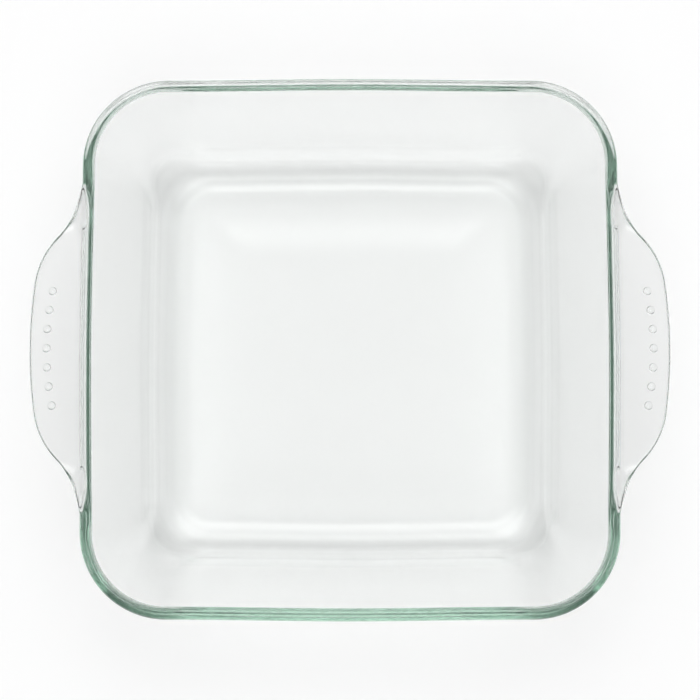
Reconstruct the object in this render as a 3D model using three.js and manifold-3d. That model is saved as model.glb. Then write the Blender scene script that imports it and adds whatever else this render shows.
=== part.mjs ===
// A square glass baking pan for brownies: a round-cornered dish with sloping walls, a rolled rim
// and two wing handles, each with an arc of grip dots under it.
// Millimetres, +Z up, +X from the left handle to the right one. The origin is on the table, under
// the middle of the pan.
import * as THREE from "three";
import { mergeVertices } from "three/addons/utils/BufferGeometryUtils.js";
import Module from "manifold-3d";

// The whole pan
const OVERALL_LENGTH = 275.4; // over both handles
const RIM_SPAN = 232.4; // across the rim from front to back, beside a corner
const HEIGHT = 60;
const SIDE_BOW = 0.75; // how far the middle of each side stands out past its ends

// The dish
const FLOOR_THICKNESS = 5.5;
const WALL_THICKNESS = 5.2; // square to the wall
const WALL_DRAFT = 25.5; // degrees that the walls lean out from upright
const HEEL_RADIUS = 21.4; // inside, between floor and wall
const OUTER_HEEL_RADIUS = 18; // outside, between the foot and the wall
const RIM_CORNER_RADIUS = 37.3; // outside, in plan
const FLOOR_CORNER_RADIUS = 10; // of the flat floor's corners, in plan
const CORNER_EASE = 6; // how late the corners draw in from the rim down to the floor
const FOOT_WIDTH = 6; // the flat band under the floor that the pan stands on
const FOOT_HEIGHT = 0.6; // how far the underside is hollowed inside the foot

// The rim
const ROLL_RADIUS = 3.05; // of the round bead along the top
const RIM_HEIGHT = 10; // from the top of the wall band to the top of the bead

// The handles
const HANDLE_REACH = 22.1; // from the rim out to the crown of the wing
const HANDLE_THICKNESS = 4;
const HANDLE_DROP = 2.3; // from the top of the rim down to the top of the wing
const HANDLE_EDGE = 1.4; // rounding of the wing's outer edge
const ROOT_FILLET = 2.85; // above the wing, where it grows out of the bead
const UNDER_FILLET = 1.75; // below the wing, down to the outer wall
const CROWN_RADIUS = 209; // of the long outer edge, in plan
const CROWN_LENGTH = 55.7;
const SHOULDER_RADIUS = 35.8;
const FLANK_ANGLE = 44.4; // degrees between the wing's steepest flank and the side of the pan
const FILLET_RADIUS = 31.7; // of the hollow curve from the flank back to the rim
const TAIL_ANGLE = 15; // degrees at which the flank runs in under the rim
const SEAM = 0.3; // between a wing and the rim that it is trimmed to

// The grip dots
const DOT_COUNT = 7;
const DOT_DIAMETER = 3.6;
const DOT_HEIGHT = 1.35;
const DOT_PITCH = 8.3; // along their arc
const DOT_ARC_RADIUS = 125; // of the line of dots
const DOT_INSET = 6.9; // from the crown of the wing to the middle of each dot

// Fineness of the facets
const CORNER_STEPS = 10;
const SIDE_STEPS = 8;
const HEEL_STEPS = 7;
const WALL_STEPS = 4;
const OUTER_ROLL_STEPS = 7;
const INNER_ROLL_STEPS = 3;
const OUTLINE_STEPS = 8;
const EDGE_STEPS = 3;
const ROOT_STEPS = 5;
const DOT_SIDES = 12;
const DOT_STEPS = 3;

const GLASS = { color: 0xdfeee6, roughness: 0.05, metalness: 0, transparent: true, opacity: 0.35 };

// The section of the dish through a handle side, as [distance from the middle, height]. The wall
// leans out by the draft, and the bead, the wall and the heel meet at tangents.
const draft = THREE.MathUtils.degToRad(WALL_DRAFT);
const lean = Math.tan(draft);
const rimHalf = OVERALL_LENGTH / 2 - HANDLE_REACH;
const rimBase = HEIGHT - RIM_HEIGHT;
const roll = [rimHalf - ROLL_RADIUS, HEIGHT - ROLL_RADIUS];
const mouth = [roll[0] - ROLL_RADIUS * Math.cos(draft), roll[1] + ROLL_RADIUS * Math.sin(draft)];
const heelTop = FLOOR_THICKNESS + HEEL_RADIUS * (1 - Math.sin(draft));
const innerWall = (z) => mouth[0] - (mouth[1] - z) * lean;
const outerWall = (z) => innerWall(z) + WALL_THICKNESS / Math.cos(draft);
const floorHalf = innerWall(heelTop) - HEEL_RADIUS * Math.cos(draft);

// The outer heel is tangent to the table and to the outer wall. Here is the outside of the foot.
const footHalf = outerWall(OUTER_HEEL_RADIUS) - OUTER_HEEL_RADIUS / Math.cos(draft);

// How much further out the front and the back are than the handle sides: nothing on a square pan
const depthGain = RIM_SPAN / 2 - rimHalf;

// The middle of each corner's arc moves in from the rim down to the floor, slowly at first, so that
// the corners get tighter towards the bottom and the rim keeps its section all round.
const rimCentre = rimHalf - RIM_CORNER_RADIUS;
const floorCentre = floorHalf - FLOOR_CORNER_RADIUS;
const cornerCentre = (z) => {
  const below = Math.min(1, (HEIGHT - z) / (HEIGHT - FLOOR_THICKNESS));
  return THREE.MathUtils.lerp(rimCentre, floorCentre, below ** CORNER_EASE);
};

// Points of a circular arc in the section, from one angle to another in radians
function arc(centre, radius, from, to, steps) {
  return Array.from({ length: steps + 1 }, (_, i) => {
    const angle = THREE.MathUtils.lerp(from, to, i / steps);
    return [centre[0] + radius * Math.cos(angle), centre[1] + radius * Math.sin(angle)];
  });
}

// One level of the pan: round corners and gently bowed sides, anticlockwise from above
function level([half, z]) {
  const centre = cornerCentre(z);
  const points = [];
  for (let side = 0; side < 4; side++) {
    const turn = (side * Math.PI) / 2;
    const [outGain, alongGain] = side % 2 ? [depthGain, 0] : [0, depthGain];
    const add = (out, along) => {
      const x = out * Math.cos(turn) - along * Math.sin(turn);
      const y = out * Math.sin(turn) + along * Math.cos(turn);
      points.push(new THREE.Vector3(x, y, z));
    };
    for (let i = 0; i < SIDE_STEPS; i++) {
      const t = (2 * i) / SIDE_STEPS - 1;
      add(half + outGain + SIDE_BOW * Math.cos((t * Math.PI) / 2) ** 2, t * (centre + alongGain));
    }
    for (let i = 0; i < CORNER_STEPS; i++) {
      const angle = ((i / CORNER_STEPS) * Math.PI) / 2;
      const radius = half - centre;
      const out = centre + outGain + radius * Math.cos(angle);
      add(out, centre + alongGain + radius * Math.sin(angle));
    }
  }
  return points;
}

// Skins a row of levels. A ring joins the last level to the first; otherwise both ends are capped.
function loft(section, isRing) {
  const levels = section.map(level);
  const count = levels[0].length;
  const vertices = levels.flat();
  const triangles = [];
  const spans = isRing ? levels.length : levels.length - 1;
  for (let j = 0; j < spans; j++) {
    const low = j * count;
    const high = ((j + 1) % levels.length) * count;
    for (let i = 0; i < count; i++) {
      const next = (i + 1) % count;
      triangles.push(low + i, low + next, high + next, low + i, high + next, high + i);
    }
  }
  if (!isRing) {
    const last = (levels.length - 1) * count;
    const bottom = vertices.push(new THREE.Vector3(0, 0, section[0][1])) - 1;
    const top = vertices.push(new THREE.Vector3(0, 0, section.at(-1)[1])) - 1;
    for (let i = 0; i < count; i++) {
      const next = (i + 1) % count;
      triangles.push(bottom, next, i, top, last + i, last + next);
    }
  }
  const geometry = new THREE.BufferGeometry().setFromPoints(vertices);
  geometry.setIndex(triangles);
  return geometry;
}

// The flat bottom, hollowed a little underneath so that it stands on a foot
function floorShape() {
  const hollow = floorHalf - FOOT_WIDTH;
  return loft(
    [
      [hollow, FOOT_HEIGHT],
      [hollow, 0],
      [floorHalf, 0],
      [floorHalf, FLOOR_THICKNESS],
    ],
    false,
  );
}

// The round turn from the floor up to the walls
function heelShape() {
  const down = -Math.PI / 2;
  const low = [footHalf, OUTER_HEEL_RADIUS];
  const outer = arc(low, OUTER_HEEL_RADIUS, down, -draft, HEEL_STEPS);
  const centre = [floorHalf, FLOOR_THICKNESS + HEEL_RADIUS];
  const inner = arc(centre, HEEL_RADIUS, -draft, down, HEEL_STEPS);
  return loft([[floorHalf, 0], ...outer, [outerWall(heelTop), heelTop], ...inner], true);
}

// The sloping band of the four sides and the corners
function wallShape() {
  const heights = Array.from({ length: WALL_STEPS + 1 }, (_, i) =>
    THREE.MathUtils.lerp(heelTop, rimBase, i / WALL_STEPS),
  );
  const outer = heights.map((z) => [outerWall(z), z]);
  const inner = heights.map((z) => [innerWall(z), z]);
  return loft([...outer, ...inner.reverse()], true);
}

// The bead, from the crease where it leaves the outer wall, over the top, to the inner wall
function beadSection() {
  const crease = -draft - Math.acos(Math.min(1, (WALL_THICKNESS - ROLL_RADIUS) / ROLL_RADIUS));
  const top = Math.PI / 2;
  return [
    ...arc(roll, ROLL_RADIUS, crease, top, OUTER_ROLL_STEPS),
    ...arc(roll, ROLL_RADIUS, top, Math.PI - draft, INNER_ROLL_STEPS).slice(1),
  ];
}

// The top of the wall with the bead along it
function rimShape() {
  return loft(
    [[outerWall(rimBase), rimBase], ...beadSection(), [innerWall(rimBase), rimBase]],
    true,
  );
}

const handleTop = HEIGHT - HANDLE_DROP;
const handleBase = handleTop - HANDLE_THICKNESS;
const crownCentre = rimHalf + HANDLE_REACH - CROWN_RADIUS;

// Half of the right wing's outline in plan, from the middle of its crown to its root: a crown, a
// shoulder and a hollow fillet that meet at tangents, and a straight tail that runs in to the bead
function wingEdge() {
  const flank = THREE.MathUtils.degToRad(FLANK_ANGLE);
  const tail = THREE.MathUtils.degToRad(TAIL_ANGLE);
  const crownEnd = Math.asin(CROWN_LENGTH / 2 / CROWN_RADIUS);
  const from = (centre, radius, angle) => [
    centre[0] + radius * Math.cos(angle),
    centre[1] + radius * Math.sin(angle),
  ];
  const crown = [crownCentre, 0];
  const shoulder = from(crown, CROWN_RADIUS - SHOULDER_RADIUS, crownEnd);
  const fillet = from(shoulder, SHOULDER_RADIUS + FILLET_RADIUS, flank);
  const edge = [
    ...arc(crown, CROWN_RADIUS, 0, crownEnd, OUTLINE_STEPS),
    ...arc(shoulder, SHOULDER_RADIUS, crownEnd, flank, OUTLINE_STEPS).slice(1),
    ...arc(fillet, FILLET_RADIUS, Math.PI + flank, Math.PI + tail, OUTLINE_STEPS).slice(1),
  ];
  const [x, y] = edge.at(-1);
  const end = y + (x - rimHalf) / Math.tan(tail);
  return [...edge, [rimHalf, end], [innerWall(handleBase), end]];
}

// The section of the glass that fills in above and below a wing's root: a hollow fillet up to the
// bead and another down to the outer wall
function rootSection() {
  const down = Math.PI / 2;
  const high = handleTop + ROOT_FILLET;
  const rise = high - roll[1];
  const out = Math.sqrt((ROLL_RADIUS + ROOT_FILLET) ** 2 - rise ** 2);
  const bead = Math.atan2(rise, out) - Math.PI;
  const low = handleBase - UNDER_FILLET;
  const under = [outerWall(low) + UNDER_FILLET / Math.cos(draft), low];
  return [
    ...arc(under, UNDER_FILLET, Math.PI - draft, down, ROOT_STEPS),
    ...arc([roll[0] + out, high], ROOT_FILLET, -down, bead, ROOT_STEPS),
    roll,
    [innerWall(low), low],
  ];
}

const wasm = await Module();
wasm.setup();

// A closed geometry as a solid that can be cut
function solid(geometry) {
  const bare = geometry.clone();
  bare.deleteAttribute("normal");
  bare.deleteAttribute("uv");
  const merged = mergeVertices(bare);
  const vertProperties = new Float32Array(merged.attributes.position.array);
  const triVerts = new Uint32Array(merged.index.array);
  return new wasm.Manifold(new wasm.Mesh({ numProp: 3, vertProperties, triVerts }));
}

// A solid back as a geometry
function geometryOf(body) {
  const mesh = body.getMesh();
  const geometry = new THREE.BufferGeometry();
  geometry.setAttribute("position", new THREE.BufferAttribute(mesh.vertProperties, 3));
  geometry.setIndex(new THREE.BufferAttribute(mesh.triVerts, 1));
  return geometry;
}

// The right wing's outline raised from one height to another, with a round edge
function wingPlate(base, top) {
  const half = wingEdge();
  const mirrored = half.slice(1).map(([x, y]) => [x, -y]).reverse();
  const outline = [...mirrored, ...half].map(([x, y]) => new THREE.Vector2(x, y));
  const plate = new THREE.ExtrudeGeometry(new THREE.Shape(outline), {
    depth: top - base - 2 * HANDLE_EDGE,
    bevelThickness: HANDLE_EDGE,
    bevelSize: HANDLE_EDGE,
    bevelOffset: -HANDLE_EDGE,
    bevelSegments: EDGE_STEPS,
  });
  return solid(plate.translate(0, 0, base + HANDLE_EDGE));
}

// The right wing: a plate and its root fillets, trimmed to the outside of the wall and the bead
function wingShape() {
  const plate = wingPlate(handleBase, handleTop);
  const root = solid(loft(rootSection(), true)).intersect(wingPlate(heelTop, HEIGHT));
  const wall = [heelTop, rimBase].map((z) => [outerWall(z), z]);
  const outside = [...wall, ...beadSection()];
  const dish = solid(loft(outside.map(([half, z]) => [half + SEAM, z]), false));
  return geometryOf(plate.add(root).subtract(dish));
}

// A grip dot: a cap of a ball, upside down on the flat underside of a wing
function dotShape() {
  const radius = DOT_DIAMETER / 2;
  const ball = (radius ** 2 + DOT_HEIGHT ** 2) / (2 * DOT_HEIGHT);
  const edge = Math.acos((ball - DOT_HEIGHT) / ball);
  const cap = Array.from({ length: DOT_STEPS + 1 }, (_, i) => {
    const angle = edge * (1 - i / DOT_STEPS);
    return new THREE.Vector2(ball * Math.sin(angle), ball * Math.cos(angle) - ball + DOT_HEIGHT);
  });
  cap[0].y = 0;
  return new THREE.LatheGeometry([new THREE.Vector2(0, 0), ...cap], DOT_SIDES).rotateX(-Math.PI / 2);
}

const pan = new THREE.Group();

function add(name, geometry) {
  const mesh = new THREE.Mesh(geometry, new THREE.MeshStandardMaterial(GLASS));
  mesh.name = name;
  pan.add(mesh);
  return mesh;
}

add("floor", floorShape());
add("heel", heelShape());
add("wall", wallShape());
add("rim", rimShape());

const rightWing = wingShape();
const leftWing = rightWing.clone().rotateZ(Math.PI);
for (const [side, wing, sign] of [["left", leftWing, -1], ["right", rightWing, 1]]) {
  add(`${side}_handle`, wing);
  for (let i = 0; i < DOT_COUNT; i++) {
    const angle = ((i - (DOT_COUNT - 1) / 2) * DOT_PITCH) / DOT_ARC_RADIUS;
    const dot = add(`${side}_grip_dot_${i + 1}`, dotShape());
    const x = OVERALL_LENGTH / 2 - DOT_INSET - DOT_ARC_RADIUS * (1 - Math.cos(angle));
    dot.position.set(sign * x, DOT_ARC_RADIUS * Math.sin(angle), handleBase);
  }
}

export default pan;
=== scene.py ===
"""A square glass baking pan with two wing handles, seen from above on a white table."""

import math

import bpy
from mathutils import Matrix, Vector
from mathutils.geometry import delaunay_2d_cdt


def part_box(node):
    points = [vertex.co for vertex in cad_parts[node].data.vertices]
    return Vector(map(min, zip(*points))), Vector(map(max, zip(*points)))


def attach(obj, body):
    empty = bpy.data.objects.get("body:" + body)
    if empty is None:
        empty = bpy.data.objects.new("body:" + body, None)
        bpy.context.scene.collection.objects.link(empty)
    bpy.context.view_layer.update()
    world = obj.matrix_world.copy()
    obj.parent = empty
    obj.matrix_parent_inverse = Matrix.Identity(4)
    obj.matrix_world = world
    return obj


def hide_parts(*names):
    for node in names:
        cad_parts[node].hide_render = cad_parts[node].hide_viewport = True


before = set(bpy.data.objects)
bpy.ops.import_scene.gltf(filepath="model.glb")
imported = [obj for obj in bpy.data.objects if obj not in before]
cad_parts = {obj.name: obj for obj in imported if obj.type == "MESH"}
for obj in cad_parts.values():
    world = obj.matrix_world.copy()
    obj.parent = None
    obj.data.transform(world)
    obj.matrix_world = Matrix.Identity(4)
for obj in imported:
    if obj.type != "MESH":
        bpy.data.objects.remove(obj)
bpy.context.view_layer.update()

MM = 0.001

# Sizes of the dish, as in the part's source. The bow and the wings' reach are a hundredth of a
# millimetre less here, so that the fine skin stays inside the solids' box.
RIM_HALF = 115.6 * MM
DEPTH_GAIN = 0.6 * MM  # how much further out the front and the back are than the handle sides
HEIGHT = 60 * MM
SIDE_BOW = 0.74 * MM
FLOOR_THICKNESS = 5.5 * MM
WALL_THICKNESS = 5.2 * MM
WALL_DRAFT = math.radians(25.5)
HEEL_RADIUS = 21.4 * MM
OUTER_HEEL_RADIUS = 18 * MM
RIM_CORNER_RADIUS = 37.3 * MM
FLOOR_CORNER_RADIUS = 10 * MM
FOOT_WIDTH = 6 * MM
FOOT_HEIGHT = 0.6 * MM
ROLL_RADIUS = 3.05 * MM
CORNER_EASE = 6  # how late the corners draw in towards the floor

# Sizes of the handles
HANDLE_REACH = 22.09 * MM
HANDLE_THICKNESS = 4 * MM
HANDLE_DROP = 2.3 * MM
HANDLE_EDGE = 1.4 * MM  # a wing's lower edge
CRISP_EDGE = 0.35 * MM  # a wing's upper edge, which shows as a fine dark line
ROOT_FILLET = 2.85 * MM
UNDER_FILLET = 1.75 * MM
CROWN_RADIUS = 209 * MM
CROWN_LENGTH = 55.7 * MM
SHOULDER_RADIUS = 35.8 * MM
FLANK_ANGLE = math.radians(44.4)
HOLLOW_RADIUS = 31.7 * MM
TAIL_ANGLE = math.radians(15)
WING_SHORTEST = 3.2 * MM  # the shortest wing section that has room for its fillets
SWELL_REACH = 2 * MM  # up to here a wing's end is only a swelling of the bead
PLATE_REACH = 9 * MM  # from here on it is a plate with a fillet at its root
BLEND_POWER = 6  # how sharply the shortest section gives way to longer ones
DOT_HEIGHT = 0.8 * MM  # less than the solids' dots have, so that each shows as a ring

# Fineness of the mesh
WING_STATIONS = 120
SIDE_STATIONS = 24
CORNER_STATIONS = 36
HEEL_ROWS = 22
WALL_ROWS = 12
BEAD_ROWS = 28
FILLET_ROWS = 10
PLATE_ROWS = 16
EDGE_ROWS = 6
TIP_ROWS = 2
UNDER_ROWS = 12
OUTSIDE_ROWS = 12
FOOT_ROWS = 3
HOLLOW_ROWS = 8
DOT_SIDES = 40
DOT_ROWS = 8
BEAD_STEPS = 90
CREASE_STEPS = 240
CREASE_REACH = 21  # of those steps to each side, over which the crease under the bead is rounded
FLOOR_LOOPS = (0.25, 0.5, 0.75, 0.92)  # as shares of the way from the middle to the floor's edge
UNDER_LOOPS = (0.45, 0.2)  # the same underneath, where the floor is hollow
HOLLOW_SHARE = 0.3  # of the way from the foot to the middle, over which the hollow rises
PATCH_START = 1  # rows of the wing's underside between which the patch with the dots lies
PATCH_END = 8
PATCH_MARGIN = 1 * MM  # of the patch past the crown of a wing
HOLE_SHARE = 0.99  # of a dot's radius, inside which a triangle of the patch lies in its hole
ROUNDING = 1e-12  # for lengths along a path
SAME_POINT = 1e-9  # corners of the patch that are nearer than this are one
INSIDE_ONLY = 1  # asks for the triangles inside the patch's outline

# The section through a side, as (distance from the middle, height)
lean = math.tan(WALL_DRAFT)
roll = (RIM_HALF - ROLL_RADIUS, HEIGHT - ROLL_RADIUS)
mouth = (
    roll[0] - ROLL_RADIUS * math.cos(WALL_DRAFT),
    roll[1] + ROLL_RADIUS * math.sin(WALL_DRAFT),
)
heel_top = FLOOR_THICKNESS + HEEL_RADIUS * (1 - math.sin(WALL_DRAFT))


def inner_wall(z):
    """How far out the inner face of a wall is at this height."""
    return mouth[0] - (mouth[1] - z) * lean


def outer_wall(z):
    """How far out the outer face of a wall is at this height."""
    return inner_wall(z) + WALL_THICKNESS / math.cos(WALL_DRAFT)


floor_half = inner_wall(heel_top) - HEEL_RADIUS * math.cos(WALL_DRAFT)
foot_half = outer_wall(OUTER_HEEL_RADIUS) - OUTER_HEEL_RADIUS / math.cos(WALL_DRAFT)
rim_centre = RIM_HALF - RIM_CORNER_RADIUS
floor_centre = floor_half - FLOOR_CORNER_RADIUS
handle_top = HEIGHT - HANDLE_DROP
handle_base = handle_top - HANDLE_THICKNESS


def corner_centre(z):
    """Where the middle of a corner's arc is at this height."""
    below = min(1.0, (HEIGHT - z) / (HEIGHT - FLOOR_THICKNESS))
    return rim_centre + (floor_centre - rim_centre) * below**CORNER_EASE


def arc(centre, radius, start, end, steps):
    """Points along an arc of the section."""
    angles = [start + (end - start) * i / steps for i in range(steps + 1)]
    return [(centre[0] + radius * math.cos(a), centre[1] + radius * math.sin(a)) for a in angles]


def line(a, b, steps):
    """Points along a straight stretch of the section."""
    return [
        (a[0] + (b[0] - a[0]) * i / steps, a[1] + (b[1] - a[1]) * i / steps)
        for i in range(steps + 1)
    ]


# The fillets above and below the root of a wing
fillet_rise = handle_top + ROOT_FILLET - roll[1]
fillet_out = math.sqrt((ROLL_RADIUS + ROOT_FILLET) ** 2 - fillet_rise**2)
bead_angle = math.atan2(fillet_rise, fillet_out)
upper_centre = (roll[0] + fillet_out, handle_top + ROOT_FILLET)
lower_centre = (
    outer_wall(handle_base - UNDER_FILLET) + UNDER_FILLET / math.cos(WALL_DRAFT),
    handle_base - UNDER_FILLET,
)
under = (
    lower_centre[0] - UNDER_FILLET * math.cos(WALL_DRAFT),
    lower_centre[1] + UNDER_FILLET * math.sin(WALL_DRAFT),
)


def resample(path, count):
    """Points at even steps along a path."""
    runs = [0.0]
    for a, b in zip(path, path[1:]):
        runs.append(runs[-1] + math.dist(a, b))
    points = []
    for step in range(count + 1):
        want = step / count * runs[-1]
        i = max(k for k, run in enumerate(runs) if run <= want + ROUNDING)
        i = min(i, len(path) - 2)
        t = (want - runs[i]) / (runs[i + 1] - runs[i])
        points.append(tuple(p + (q - p) * t for p, q in zip(path[i], path[i + 1])))
    return points


def softened(path, count, reach):
    """The path with its crease rounded: an average over a reach along it, less near its ends."""
    fine = resample(path, count)
    soft = []
    for i in range(count + 1):
        room = min(reach, i, count - i)
        near = fine[i - room : i + room + 1]
        soft.append(tuple(sum(p[k] for p in near) / len(near) for k in (0, 1)))
    return soft


# Inside, from the floor's edge over the bead to where a wing may start
heel_middle = (floor_half, FLOOR_THICKNESS + HEEL_RADIUS)
inside = arc(heel_middle, HEEL_RADIUS, -math.pi / 2, -WALL_DRAFT, HEEL_ROWS)
inside += line(inside[-1], mouth, WALL_ROWS)[1:]
inside += arc(roll, ROLL_RADIUS, math.pi - WALL_DRAFT, bead_angle, BEAD_ROWS)[1:]

# Outside, from below a wing down to the foot
heel_under = (foot_half, OUTER_HEEL_RADIUS)
outside_heel = arc(heel_under, OUTER_HEEL_RADIUS, -WALL_DRAFT, -math.pi / 2, HEEL_ROWS)
outside = line(under, outside_heel[0], OUTSIDE_ROWS)
outside += outside_heel[1:]
outside += line(outside[-1], (floor_half - FOOT_WIDTH, 0), FOOT_ROWS)[1:]

# Where there is no wing: round the bead, through its crease and down the wall
wing_rows = 2 * FILLET_ROWS + PLATE_ROWS + 2 * EDGE_ROWS + TIP_ROWS + UNDER_ROWS
crease = -WALL_DRAFT - math.acos((WALL_THICKNESS - ROLL_RADIUS) / ROLL_RADIUS)
bare = arc(roll, ROLL_RADIUS, bead_angle, crease, BEAD_STEPS)
bare.append(under)
plain = resample(softened(bare, CREASE_STEPS, CREASE_REACH), wing_rows)


def wing(reach):
    """A wing's section where it stands this far out of the rim."""
    tip = RIM_HALF + reach
    rows = arc(upper_centre, ROOT_FILLET, bead_angle - math.pi, -math.pi / 2, FILLET_ROWS)
    rows += line(rows[-1], (tip - CRISP_EDGE, handle_top), PLATE_ROWS)[1:]
    high = (tip - CRISP_EDGE, handle_top - CRISP_EDGE)
    low = (tip - HANDLE_EDGE, handle_base + HANDLE_EDGE)
    rows += arc(high, CRISP_EDGE, math.pi / 2, 0, EDGE_ROWS)[1:]
    rows += line(rows[-1], (tip, low[1]), TIP_ROWS)[1:]
    rows += arc(low, HANDLE_EDGE, 0, -math.pi / 2, EDGE_ROWS)[1:]
    rows += line(rows[-1], (lower_centre[0], handle_base), UNDER_ROWS)[1:]
    rows += arc(lower_centre, UNDER_FILLET, math.pi / 2, math.pi - WALL_DRAFT, FILLET_ROWS)[1:]
    return rows


# A wing's outline in plan: a crown, a shoulder and a hollow that meet at tangents, and a straight tail
crown_end = math.asin(CROWN_LENGTH / 2 / CROWN_RADIUS)
crown_middle = RIM_HALF + HANDLE_REACH - CROWN_RADIUS
shoulder_middle = (
    crown_middle + (CROWN_RADIUS - SHOULDER_RADIUS) * math.cos(crown_end),
    (CROWN_RADIUS - SHOULDER_RADIUS) * math.sin(crown_end),
)
shoulder_end = shoulder_middle[1] + SHOULDER_RADIUS * math.sin(FLANK_ANGLE)
hollow_middle = (
    shoulder_middle[0] + (SHOULDER_RADIUS + HOLLOW_RADIUS) * math.cos(FLANK_ANGLE),
    shoulder_middle[1] + (SHOULDER_RADIUS + HOLLOW_RADIUS) * math.sin(FLANK_ANGLE),
)
hollow_end = (
    hollow_middle[0] - HOLLOW_RADIUS * math.cos(TAIL_ANGLE),
    hollow_middle[1] - HOLLOW_RADIUS * math.sin(TAIL_ANGLE),
)
side_half = rim_centre + DEPTH_GAIN


def wing_reach(y):
    """How far a wing stands out of the rim at this place along the side."""
    y = abs(y)
    if y <= CROWN_LENGTH / 2:
        edge = crown_middle + math.sqrt(CROWN_RADIUS**2 - y**2)
    elif y <= shoulder_end:
        edge = shoulder_middle[0] + math.sqrt(SHOULDER_RADIUS**2 - (y - shoulder_middle[1]) ** 2)
    elif y <= hollow_end[1]:
        edge = hollow_middle[0] - math.sqrt(HOLLOW_RADIUS**2 - (y - hollow_middle[1]) ** 2)
    else:
        edge = hollow_end[0] - (y - hollow_end[1]) * math.tan(TAIL_ANGLE)
    return edge - RIM_HALF


def swell(out, z):
    """How much of a swelling's reach the bead takes up at this point."""
    if out < roll[0]:
        return 0.0
    if z > roll[1]:
        return 1 - ((z - roll[1]) / ROLL_RADIUS) ** 2
    fall = min(1.0, (roll[1] - z) / (roll[1] - under[1]))
    return (1 - fall**2) ** 2


def with_wing(rows, reach):
    """The section with a wing of this reach: a swollen bead at first, and then a plate."""
    t = min(1.0, max(0.0, (reach - SWELL_REACH) / (PLATE_REACH - SWELL_REACH)))
    share = t * t * (3 - 2 * t)
    swelling = reach * (1 - share) ** 2
    rows = [(out + swelling * swell(out, z), z) for out, z in rows]
    full = reach
    if share < 1:
        full = (reach**BLEND_POWER + WING_SHORTEST**BLEND_POWER) ** (1 / BLEND_POWER)
    for i, ((out, z), (bare_out, bare_z)) in enumerate(zip(wing(full), plain)):
        more = swelling * swell(bare_out, bare_z)
        rows[len(inside) - 1 + i] = (
            bare_out + more + (out - bare_out) * share,
            bare_z + (z - bare_z) * share,
        )
    widest = max(out for out, _ in rows) - RIM_HALF
    return [
        (RIM_HALF + (out - RIM_HALF) * reach / widest if out > RIM_HALF else out, z)
        for out, z in rows
    ]


def station_points(side, kind, value):
    """The points of one section, from the floor's edge over the rim to the foot's inner edge."""
    rows = inside + plain[1:] + outside[1:]
    if kind == "side":
        bow = SIDE_BOW * math.cos(value * math.pi / 2) ** 2
        gain = 0.0 if side % 2 else DEPTH_GAIN
        along = [value * (corner_centre(z) + gain) for _, z in rows]
        reach = wing_reach(value * side_half) - bow if side % 2 == 0 else 0.0
        if reach > 0:
            rows = with_wing(rows, reach)
        flat = [(out + bow, a, z) for (out, z), a in zip(rows, along)]
    else:
        flat = []
        for out, z in rows:
            centre = corner_centre(z)
            flat.append((
                centre + (out - centre) * math.cos(value),
                centre + (out - centre) * math.sin(value),
                z,
            ))
    turn = side * math.pi / 2
    c, s = round(math.cos(turn)), round(math.sin(turn))
    points = [Vector((out * c - a * s, out * s + a * c, z)) for out, a, z in flat]
    if kind == "corner" or side % 2:
        for point in points:
            point.y += math.copysign(DEPTH_GAIN, point.y)
    return points


# The stations round the pan: a side or the corner after it, and a place along the side from -1 to 1
# or an angle round the corner. Sides 0 and 2 have the wings.
stations = []
for side in range(4):
    steps = WING_STATIONS if side % 2 == 0 else SIDE_STATIONS
    stations += [(side, "side", 2 * i / steps - 1) for i in range(steps)]
    stations += [
        (side, "corner", i / CORNER_STATIONS * math.pi / 2) for i in range(CORNER_STATIONS)
    ]
sections = [station_points(*station) for station in stations]

# The loops of the skin: the floor from its middle out, over the rim, and back under to the middle
loops = []
for share in FLOOR_LOOPS:
    loops.append([Vector((p[0].x * share, p[0].y * share, FLOOR_THICKNESS)) for p in sections])
first_row = len(loops)
for j in range(len(sections[0])):
    loops.append([points[j] for points in sections])
for i in range(1, HOLLOW_ROWS + 1):
    share = 1 - HOLLOW_SHARE * i / HOLLOW_ROWS
    rise = FOOT_HEIGHT * (1 - math.cos(math.pi * i / HOLLOW_ROWS)) / 2
    loops.append([Vector((p[-1].x * share, p[-1].y * share, rise)) for p in sections])
for share in UNDER_LOOPS:
    loops.append([Vector((p[-1].x * share, p[-1].y * share, FOOT_HEIGHT)) for p in sections])

count = len(stations)
vertices = [p for loop in loops for p in loop]
faces = []

# The part of each wing's flat underside that holds the dots is left open for a finer patch.
under_row = first_row + len(inside) - 1 + FILLET_ROWS + PLATE_ROWS + 2 * EDGE_ROWS + TIP_ROWS
patch_rows = (under_row + PATCH_START, under_row + PATCH_END)
patch_half = CROWN_LENGTH / 2 + PATCH_MARGIN
patches = []
for wing_side, name in ((0, "right"), (2, "left")):
    near = [
        i for i, (side, kind, value) in enumerate(stations)
        if side == wing_side and kind == "side" and abs(value * side_half) <= patch_half
    ]
    patches.append((near[0], near[-1], name))


def in_patch(j, i):
    """Whether the face from this row and station is left out for a patch."""
    return patch_rows[0] <= j < patch_rows[1] and any(a <= i < b for a, b, _ in patches)


for j in range(len(loops) - 1):
    for i in range(count):
        if not in_patch(j, i):
            n = (i + 1) % count
            faces.append((j * count + i, (j + 1) * count + i, (j + 1) * count + n, j * count + n))
top = len(vertices)
vertices.append(Vector((0, 0, FLOOR_THICKNESS)))
bottom = len(vertices)
vertices.append(Vector((0, 0, FOOT_HEIGHT)))
last = (len(loops) - 1) * count
for i in range(count):
    n = (i + 1) % count
    faces.append((top, i, n))
    faces.append((bottom, last + n, last + i))

# The dots, each a cap of a ball that hangs from a round hole in the patch
sharp = set()


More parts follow.
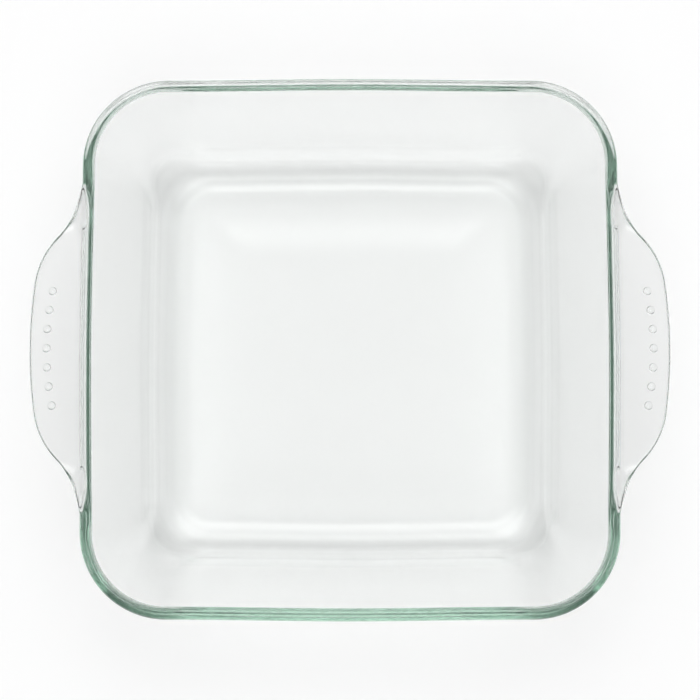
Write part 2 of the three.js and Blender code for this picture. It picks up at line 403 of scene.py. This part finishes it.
def hang_dot(middle, radius):
    """Adds a dot's cap, and gives the corners of the hole that it hangs from."""
    ball = (radius**2 + DOT_HEIGHT**2) / (2 * DOT_HEIGHT)
    widest = math.acos((ball - DOT_HEIGHT) / ball)
    rings = []
    for row in range(DOT_ROWS):
        angle = widest * (1 - row / DOT_ROWS)
        ring = []
        for k in range(DOT_SIDES):
            turn = 2 * math.pi * k / DOT_SIDES
            ring.append(len(vertices))
            vertices.append(Vector((
                middle.x + ball * math.sin(angle) * math.cos(turn),
                middle.y + ball * math.sin(angle) * math.sin(turn),
                handle_base + ball - DOT_HEIGHT - ball * math.cos(angle),
            )))
        rings.append(ring)
    crest = len(vertices)
    vertices.append(Vector((middle.x, middle.y, handle_base - DOT_HEIGHT)))
    for k in range(DOT_SIDES):
        n = (k + 1) % DOT_SIDES
        for high, low in zip(rings, rings[1:]):
            faces.append((high[n], high[k], low[k], low[n]))
        faces.append((rings[-1][n], rings[-1][k], crest))
        sharp.add(frozenset((rings[0][k], rings[0][n])))
    return rings[0]


def loop_bonds(start, size):
    """Pairs of neighbours round a closed loop of corners."""
    return [(start + k, start + (k + 1) % size) for k in range(size)]


for a, b, name in patches:
    corners = [patch_rows[0] * count + i for i in range(a, b)]
    corners += [j * count + b for j in range(patch_rows[0], patch_rows[1])]
    corners += [patch_rows[1] * count + i for i in range(b, a, -1)]
    corners += [j * count + a for j in range(patch_rows[1], patch_rows[0], -1)]
    bonds = loop_bonds(0, len(corners))
    dots = []
    while f"{name}_grip_dot_{len(dots) + 1}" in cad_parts:
        low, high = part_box(f"{name}_grip_dot_{len(dots) + 1}")
        dots.append(((low + high) / 2, (high.x - low.x) / 2))
    for middle, radius in dots:
        hole = hang_dot(middle, radius)
        bonds += loop_bonds(len(corners), len(hole))
        corners += hole
    plan = [vertices[v].xy for v in corners]
    spots, _, triangles, origins, _, _ = delaunay_2d_cdt(plan, bonds, [], INSIDE_ONLY, SAME_POINT)
    for triangle in triangles:
        spot = sum((spots[v] for v in triangle), Vector((0, 0))) / 3
        if all((spot - middle.xy).length > radius * HOLE_SHARE for middle, radius in dots):
            faces.append(tuple(corners[origins[v][0]] for v in reversed(triangle)))

mesh = bpy.data.meshes.new("pan_glass")
mesh.from_pydata(vertices, [], faces)
mesh.polygons.foreach_set("use_smooth", [True] * len(mesh.polygons))
for link in mesh.edges:
    if frozenset(link.vertices) in sharp:
        link.use_edge_sharp = True
mesh.validate()
pan = bpy.data.objects.new("pan_glass", mesh)
bpy.context.scene.collection.objects.link(pan)

# Clear pressed glass with a faint green body
GLASS_COLOUR = (0.955, 0.955, 0.955, 1)
GLASS_IOR = 1.5
BODY_COLOUR = (0.25, 0.5, 0.37, 1)
BODY_DENSITY = 6
POLISH_SCALE = 160
POLISH_DETAIL = 3
POLISH_FROM = 0.4  # the noise between these two is spread from clear to the greatest roughness
POLISH_TO = 0.8
POLISH_ROUGHNESS = 0.02
WAVE_SCALE = 55
WAVE_DETAIL = 1
WAVE_STRENGTH = 0.5
WAVE_HEIGHT = 0.06 * MM
glass = bpy.data.materials.new("pressed_glass")
glass.use_nodes = True
nodes = glass.node_tree.nodes
links = glass.node_tree.links
shader = nodes["Principled BSDF"]
shader.inputs["Base Color"].default_value = GLASS_COLOUR
shader.inputs["Transmission Weight"].default_value = 1
shader.inputs["IOR"].default_value = GLASS_IOR
place = nodes.new("ShaderNodeTexCoord").outputs["Object"]

# The polish isn't quite even
polish = nodes.new("ShaderNodeTexNoise")
polish.inputs["Scale"].default_value = POLISH_SCALE
polish.inputs["Detail"].default_value = POLISH_DETAIL
links.new(place, polish.inputs["Vector"])
gloss = nodes.new("ShaderNodeMapRange")
gloss.inputs["From Min"].default_value = POLISH_FROM
gloss.inputs["From Max"].default_value = POLISH_TO
gloss.inputs["To Min"].default_value = 0
gloss.inputs["To Max"].default_value = POLISH_ROUGHNESS
links.new(polish.outputs["Fac"], gloss.inputs["Value"])
links.new(gloss.outputs["Result"], shader.inputs["Roughness"])

# Slow waves that the pressing leaves in the faces
waves = nodes.new("ShaderNodeTexNoise")
waves.inputs["Scale"].default_value = WAVE_SCALE
waves.inputs["Detail"].default_value = WAVE_DETAIL
links.new(place, waves.inputs["Vector"])
bump = nodes.new("ShaderNodeBump")
bump.inputs["Strength"].default_value = WAVE_STRENGTH
bump.inputs["Distance"].default_value = WAVE_HEIGHT
links.new(waves.outputs["Fac"], bump.inputs["Height"])
links.new(bump.outputs["Normal"], shader.inputs["Normal"])

# The green of the body, which shows where the light goes a long way through the glass
body = nodes.new("ShaderNodeVolumeAbsorption")
body.inputs["Color"].default_value = BODY_COLOUR
body.inputs["Density"].default_value = BODY_DENSITY
links.new(body.outputs["Volume"], nodes["Material Output"].inputs["Volume"])
mesh.materials.append(glass)

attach(pan, "root")
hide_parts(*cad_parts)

# The table, a hair under the foot
TABLE_SIZE = 6
TABLE_GAP = 0.2 * MM
TABLE_COLOUR = (0.95, 0.95, 0.95, 1)
TABLE_ROUGHNESS = 0.9
bpy.ops.mesh.primitive_plane_add(size=TABLE_SIZE, location=(0, 0, -TABLE_GAP))
table = bpy.context.object
table.name = "table"
white = bpy.data.materials.new("white_table")
white.use_nodes = True
paint = white.node_tree.nodes["Principled BSDF"]
paint.inputs["Base Color"].default_value = TABLE_COLOUR
paint.inputs["Roughness"].default_value = TABLE_ROUGHNESS
paint.inputs["Specular IOR Level"].default_value = 0
table.data.materials.append(white)

# Soft studio light: a wide box over the back edge, one over the front edge and dim sides. Heights are
# shares of the way up from the horizon to overhead: where each box starts, is full, fades and ends.
BACK_BOX = {"start": 0.5, "full": 0.88, "fade": 0.94, "end": 0.995, "level": 4.3, "dim": 0.43}
FRONT_BOX = {"start": 0.63, "full": 0.92, "fade": 0.95, "end": 0.995, "level": 3.65, "dim": 0}
SIDE_BOX = {"start": 0.2, "full": 0.3, "fade": 0.62, "end": 0.75, "level": 0.72, "dim": 0}
OVERHEAD_LIGHT = 0.38  # where the camera looks in
world = bpy.data.worlds.new("studio")
bpy.context.scene.world = world
world.use_nodes = True
sky = world.node_tree.nodes
wire = world.node_tree.links
direction = sky.new("ShaderNodeTexCoord").outputs["Generated"]
split = sky.new("ShaderNodeSeparateXYZ")
wire.new(direction, split.inputs["Vector"])
bearing = sky.new("ShaderNodeVectorMath")
bearing.operation = "MULTIPLY"
bearing.inputs[1].default_value = (1, 1, 0)
wire.new(direction, bearing.inputs[0])
unit = sky.new("ShaderNodeVectorMath")
unit.operation = "NORMALIZE"
wire.new(bearing.outputs[0], unit.inputs[0])
towards = sky.new("ShaderNodeSeparateXYZ")
wire.new(unit.outputs[0], towards.inputs["Vector"])


def calc(operation, first, second):
    """A step of arithmetic in the sky's nodes, on two values or outputs."""
    node = sky.new("ShaderNodeMath")
    node.operation = operation
    for socket, value in zip(node.inputs, (first, second)):
        if isinstance(value, (int, float)):
            socket.default_value = value
        else:
            wire.new(value, socket)
    return node.outputs[0]


def box_light(box):
    """A soft box's light by height."""
    ramp = sky.new("ShaderNodeValToRGB")
    wire.new(split.outputs["Z"], ramp.inputs["Fac"])
    stops = (
        (0, box["dim"]),
        (box["start"], box["dim"]),
        (box["full"], box["level"]),
        (box["fade"], box["level"]),
        (box["end"], box["dim"]),
        (1, OVERHEAD_LIGHT),
    )
    elements = ramp.color_ramp.elements
    for height, _ in stops[1:-1]:
        elements.new(height)
    for element, (_, level) in zip(elements, stops):
        element.color = (level, level, level, 1)
    return ramp.outputs["Color"]


across = towards.outputs["Y"]
back = calc("POWER", calc("MAXIMUM", across, 0), 2)
front = calc("POWER", calc("MINIMUM", across, 0), 2)
sides = calc("SUBTRACT", 1, calc("MULTIPLY", across, across))
light = calc("MULTIPLY", box_light(BACK_BOX), back)
light = calc("ADD", light, calc("MULTIPLY", box_light(FRONT_BOX), front))
light = calc("ADD", light, calc("MULTIPLY", box_light(SIDE_BOX), sides))
wire.new(light, sky["Background"].inputs["Color"])

# The camera stands almost straight above the pan
CAMERA_DISTANCE = 1.0
CAMERA_ELEVATION = math.radians(85.5)
CAMERA_LENS = 120
CAMERA_SENSOR = 36
AIM_FORWARD = 1.16 * MM  # from the middle of the rim towards the front
camera = bpy.data.objects.new("camera", bpy.data.cameras.new("camera"))
bpy.context.scene.collection.objects.link(camera)
bpy.context.scene.camera = camera
camera.data.lens = CAMERA_LENS
camera.data.sensor_width = CAMERA_SENSOR
aim = Vector((0, -AIM_FORWARD, HEIGHT))
away = Vector((0, -math.cos(CAMERA_ELEVATION), math.sin(CAMERA_ELEVATION)))
camera.location = aim + away * CAMERA_DISTANCE
camera.rotation_euler = (-away).to_track_quat("-Z", "Y").to_euler()

# Light that is led along inside the rim is reflected many times
LIGHT_BOUNCES = 48
scene = bpy.context.scene
scene.view_settings.view_transform = "Standard"
scene.cycles.max_bounces = LIGHT_BOUNCES
scene.cycles.transmission_bounces = LIGHT_BOUNCES
scene.cycles.glossy_bounces = LIGHT_BOUNCES
scene.cycles.blur_glossy = 0
